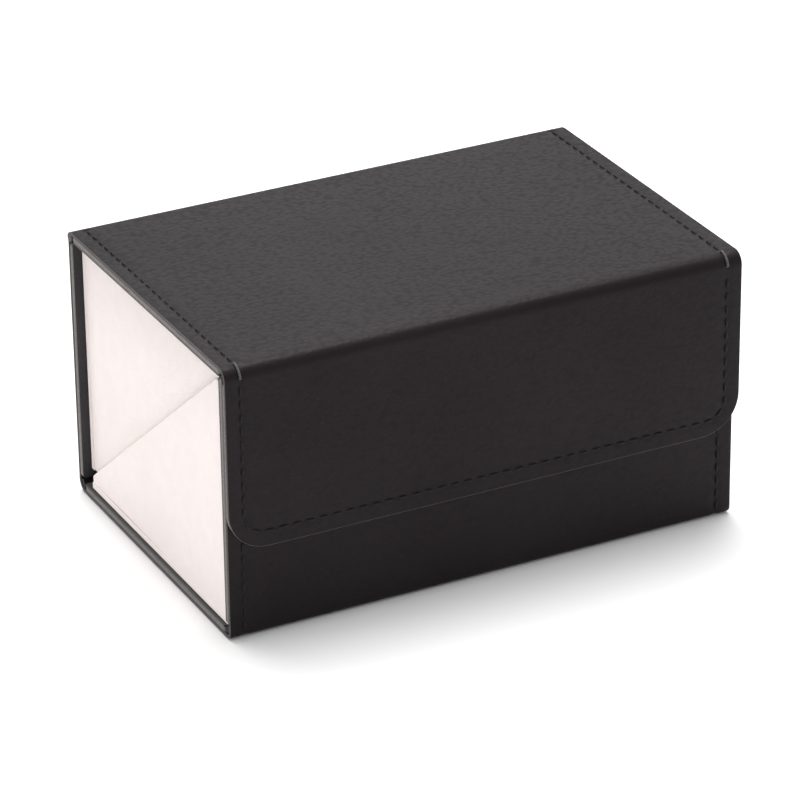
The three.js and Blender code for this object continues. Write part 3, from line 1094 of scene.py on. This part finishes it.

# %% [markdown]
# The cloth carries on past each triangle as a narrow tape: it turns under the triangle's edge
# onto the base below, and onto the back wall at the rear.

# %% Hinge tapes
LAP = 0.4 * MM                           # a tape covers the triangle's rounded edge by this much
GLUED = 4 * MM                           # how far it reaches along the wall
CLEAR = 0.05 * MM                        # it lies this far outside the triangle's face
foot = base_floor + 2 * CLEAR
rear = back_face - 2 * CLEAR
for side, sign in (("left", -1), ("right", 1)):
    outer = sign * (lower_high.x + CLEAR)
    lower_tape = tape(
        f"lower_hinge_tape_{side}",
        [(outer, lower_low.y, lower_low.z + LAP), (outer, lower_low.y, foot + LAP),
         (outer - sign * LAP, lower_low.y, foot), (outer - sign * GLUED, lower_low.y, foot)],
        lower_low.y, lower_high.y, (0, 1, 0), cloth)
    outer = sign * (upper_high.x + CLEAR)
    upper_tape = tape(
        f"upper_hinge_tape_{side}",
        [(outer, upper_high.y - LAP, upper_low.z), (outer, rear - LAP, upper_low.z),
         (outer - sign * LAP, rear, upper_low.z), (outer - sign * GLUED, rear, upper_low.z)],
        upper_low.z, upper_high.z, (0, 0, 1), cloth)
    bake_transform(lower_tape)
    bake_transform(upper_tape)

# %% [markdown]
# Behind the two bottom folds the leather is turned in and doubled. That shows only where a fold
# ends, as a second layer inside the first. It is a thick strip with a rounded section round its
# fold.

# %% Turned-in leather
TURN_IN = 1.5 * MM
TURN_IN_RADIUS = 1.8 * MM
TURN_IN_HALF = BODY_HALF - 0.3 * MM


def arc(centre, radius, from_degrees, to_degrees):
    """Points round an arc in Y, Z."""
    return [(centre[0] + radius * math.cos(t), centre[1] + radius * math.sin(t))
            for t in turns(from_degrees, to_degrees)]


def across(half, section):
    """The section's points at the left end of a strip that runs from -half to half."""
    return [(-half, *point) for point in section]


def turn_in(name, centre, from_degrees, to_degrees):
    section = arc(centre, TURN_IN_RADIUS, from_degrees, to_degrees)
    core = tape(name, across(TURN_IN_HALF, section), -TURN_IN_HALF, TURN_IN_HALF, (1, 0, 0),
                leather, TURN_IN)
    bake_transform(core)


turn_in("rear_fold_turn_in", (back_fold_y, FOLD), 270, 360)
turn_in("front_fold_turn_in", (front_low.y + FOLD, FOLD), 270, 180)

# %% [markdown]
# Inside, the suede runs on round each fold, so that nothing raw shows when the box is open. Each
# inside corner is a thin strip with a rounded section. The spine has two hinges, so its strip is
# two that meet in the middle.

# %% Suede in the inside corners
OFF_LINING = 0.09 * MM                   # the strips lie this far off the linings
REACH = 3 * MM                           # how far each strip runs along a panel
WIDE_BEND, TIGHT_BEND = 1.3 * MM, 0.85 * MM
INSIDE = upper_high.x - 3 * MM           # between the triangles
floor_in = base_floor + OFF_LINING
front_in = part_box("front_wall_lining")[1].y + OFF_LINING
back_in = back_face - OFF_LINING
lid_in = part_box("lid_lining")[0].z - OFF_LINING
flap_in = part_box("flap_lining")[1].y + OFF_LINING


def corner_strip(name, section, half=INSIDE):
    strip = tape(name, across(half, section), -half, half, (1, 0, 0), lining)
    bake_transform(strip)


y, z = front_in + WIDE_BEND, floor_in + WIDE_BEND
corner_strip("front_corner_suede",
             [(y + REACH, floor_in), *arc((y, z), WIDE_BEND, 270, 180), (front_in, z + REACH)])
y = back_in - WIDE_BEND
corner_strip("rear_corner_suede",
             [(y - REACH, floor_in), *arc((y, z), WIDE_BEND, 270, 360), (back_in, z + REACH)])
y, z = back_in - TIGHT_BEND, lid_in - TIGHT_BEND
lower_arc = arc((y, z), TIGHT_BEND, 0, SPINE_MIDDLE)
upper_arc = arc((y, z), TIGHT_BEND, SPINE_MIDDLE, 90)
corner_strip("spine_suede_lower", [(back_in, z - REACH), *lower_arc])
corner_strip("spine_suede_upper", [*upper_arc, (y - REACH, lid_in)])
y = flap_in + TIGHT_BEND
corner_strip("flap_corner_suede",
             [(y + REACH, lid_in), *arc((y, z), TIGHT_BEND, 90, 180), (flap_in, z - REACH)],
             LID_HALF - 0.8 * MM)

# %% [markdown]
# The camera stands where a long lens sees the box from its front left corner and above. It is
# far away, so the edges run nearly parallel. Its height off the middle sets the framing.

# %% Camera
AZIMUTH, ELEVATION, ROLL = map(math.radians, (-26.81, 26.4, -0.69))
DISTANCE = 8 * 2 * LID_HALF
LENS = 201.5
BELOW = 7.4 * MM
ASIDE = -0.8 * MM
middle = Vector((0, 0, TOP / 2))
towards_camera = Vector((math.sin(AZIMUTH) * math.cos(ELEVATION),
                         -math.cos(AZIMUTH) * math.cos(ELEVATION), math.sin(ELEVATION)))
level = Vector((math.cos(AZIMUTH), math.sin(AZIMUTH), 0))
upright = towards_camera.cross(level)
right = math.cos(ROLL) * level + math.sin(ROLL) * upright
above = math.cos(ROLL) * upright - math.sin(ROLL) * level
camera_data = bpy.data.cameras.new("camera")
camera_data.lens = LENS
camera_data.clip_end = 10
camera = bpy.data.objects.new("camera", camera_data)
bpy.context.collection.objects.link(camera)
stand = middle + towards_camera * DISTANCE - above * BELOW + right * ASIDE
turned = Matrix((right, above, towards_camera)).transposed().to_4x4()
camera.matrix_world = Matrix.Translation(stand) @ turned
bpy.context.scene.camera = camera
bpy.context.scene.view_settings.view_transform = "Standard"
print("camera at", [round(c, 3) for c in camera.location])

# %% [markdown]
# A plain pale floor and a white surround light the box softly from all sides. One broad lamp
# overhead and one low behind the box make the lid read lighter than the front, and a faint one at
# the left lifts the pale end.

# %% Floor and light
bpy.ops.mesh.primitive_grid_add(x_subdivisions=4, y_subdivisions=4, size=8, location=(0, 0, -0.0002))
floor = settle(bpy.context.object, "floor")
paper, tree, shader = new_material("white_paper", 0.95)
shader["Base Color"].default_value = (0.94, 0.94, 0.94, 1)
floor.data.materials.append(paper)

world = bpy.data.worlds.new("surround")
world.use_nodes = True
world.node_tree.nodes["Background"].inputs["Color"].default_value = (1, 0.995, 0.99, 1)
world.node_tree.nodes["Background"].inputs["Strength"].default_value = 0.64
bpy.context.scene.world = world


def lamp(name, where, size, power):
    data = bpy.data.lights.new(name, "AREA")
    data.shape = "DISK"
    data.size = size
    data.energy = power
    made = bpy.data.objects.new(name, data)
    made.location = where
    made.rotation_euler = (middle - Vector(where)).to_track_quat("-Z", "Y").to_euler()
    bpy.context.collection.objects.link(made)
    return made


lamp("overhead", (0.1, 0.35, 1.5), 1.2, 27)
lamp("rear_card", (0.65, 1.35, 0.75), 1.3, 2.6)
lamp("left_side", (-1.4, 0.1, 0.7), 0.9, 2)
print("lamps set")
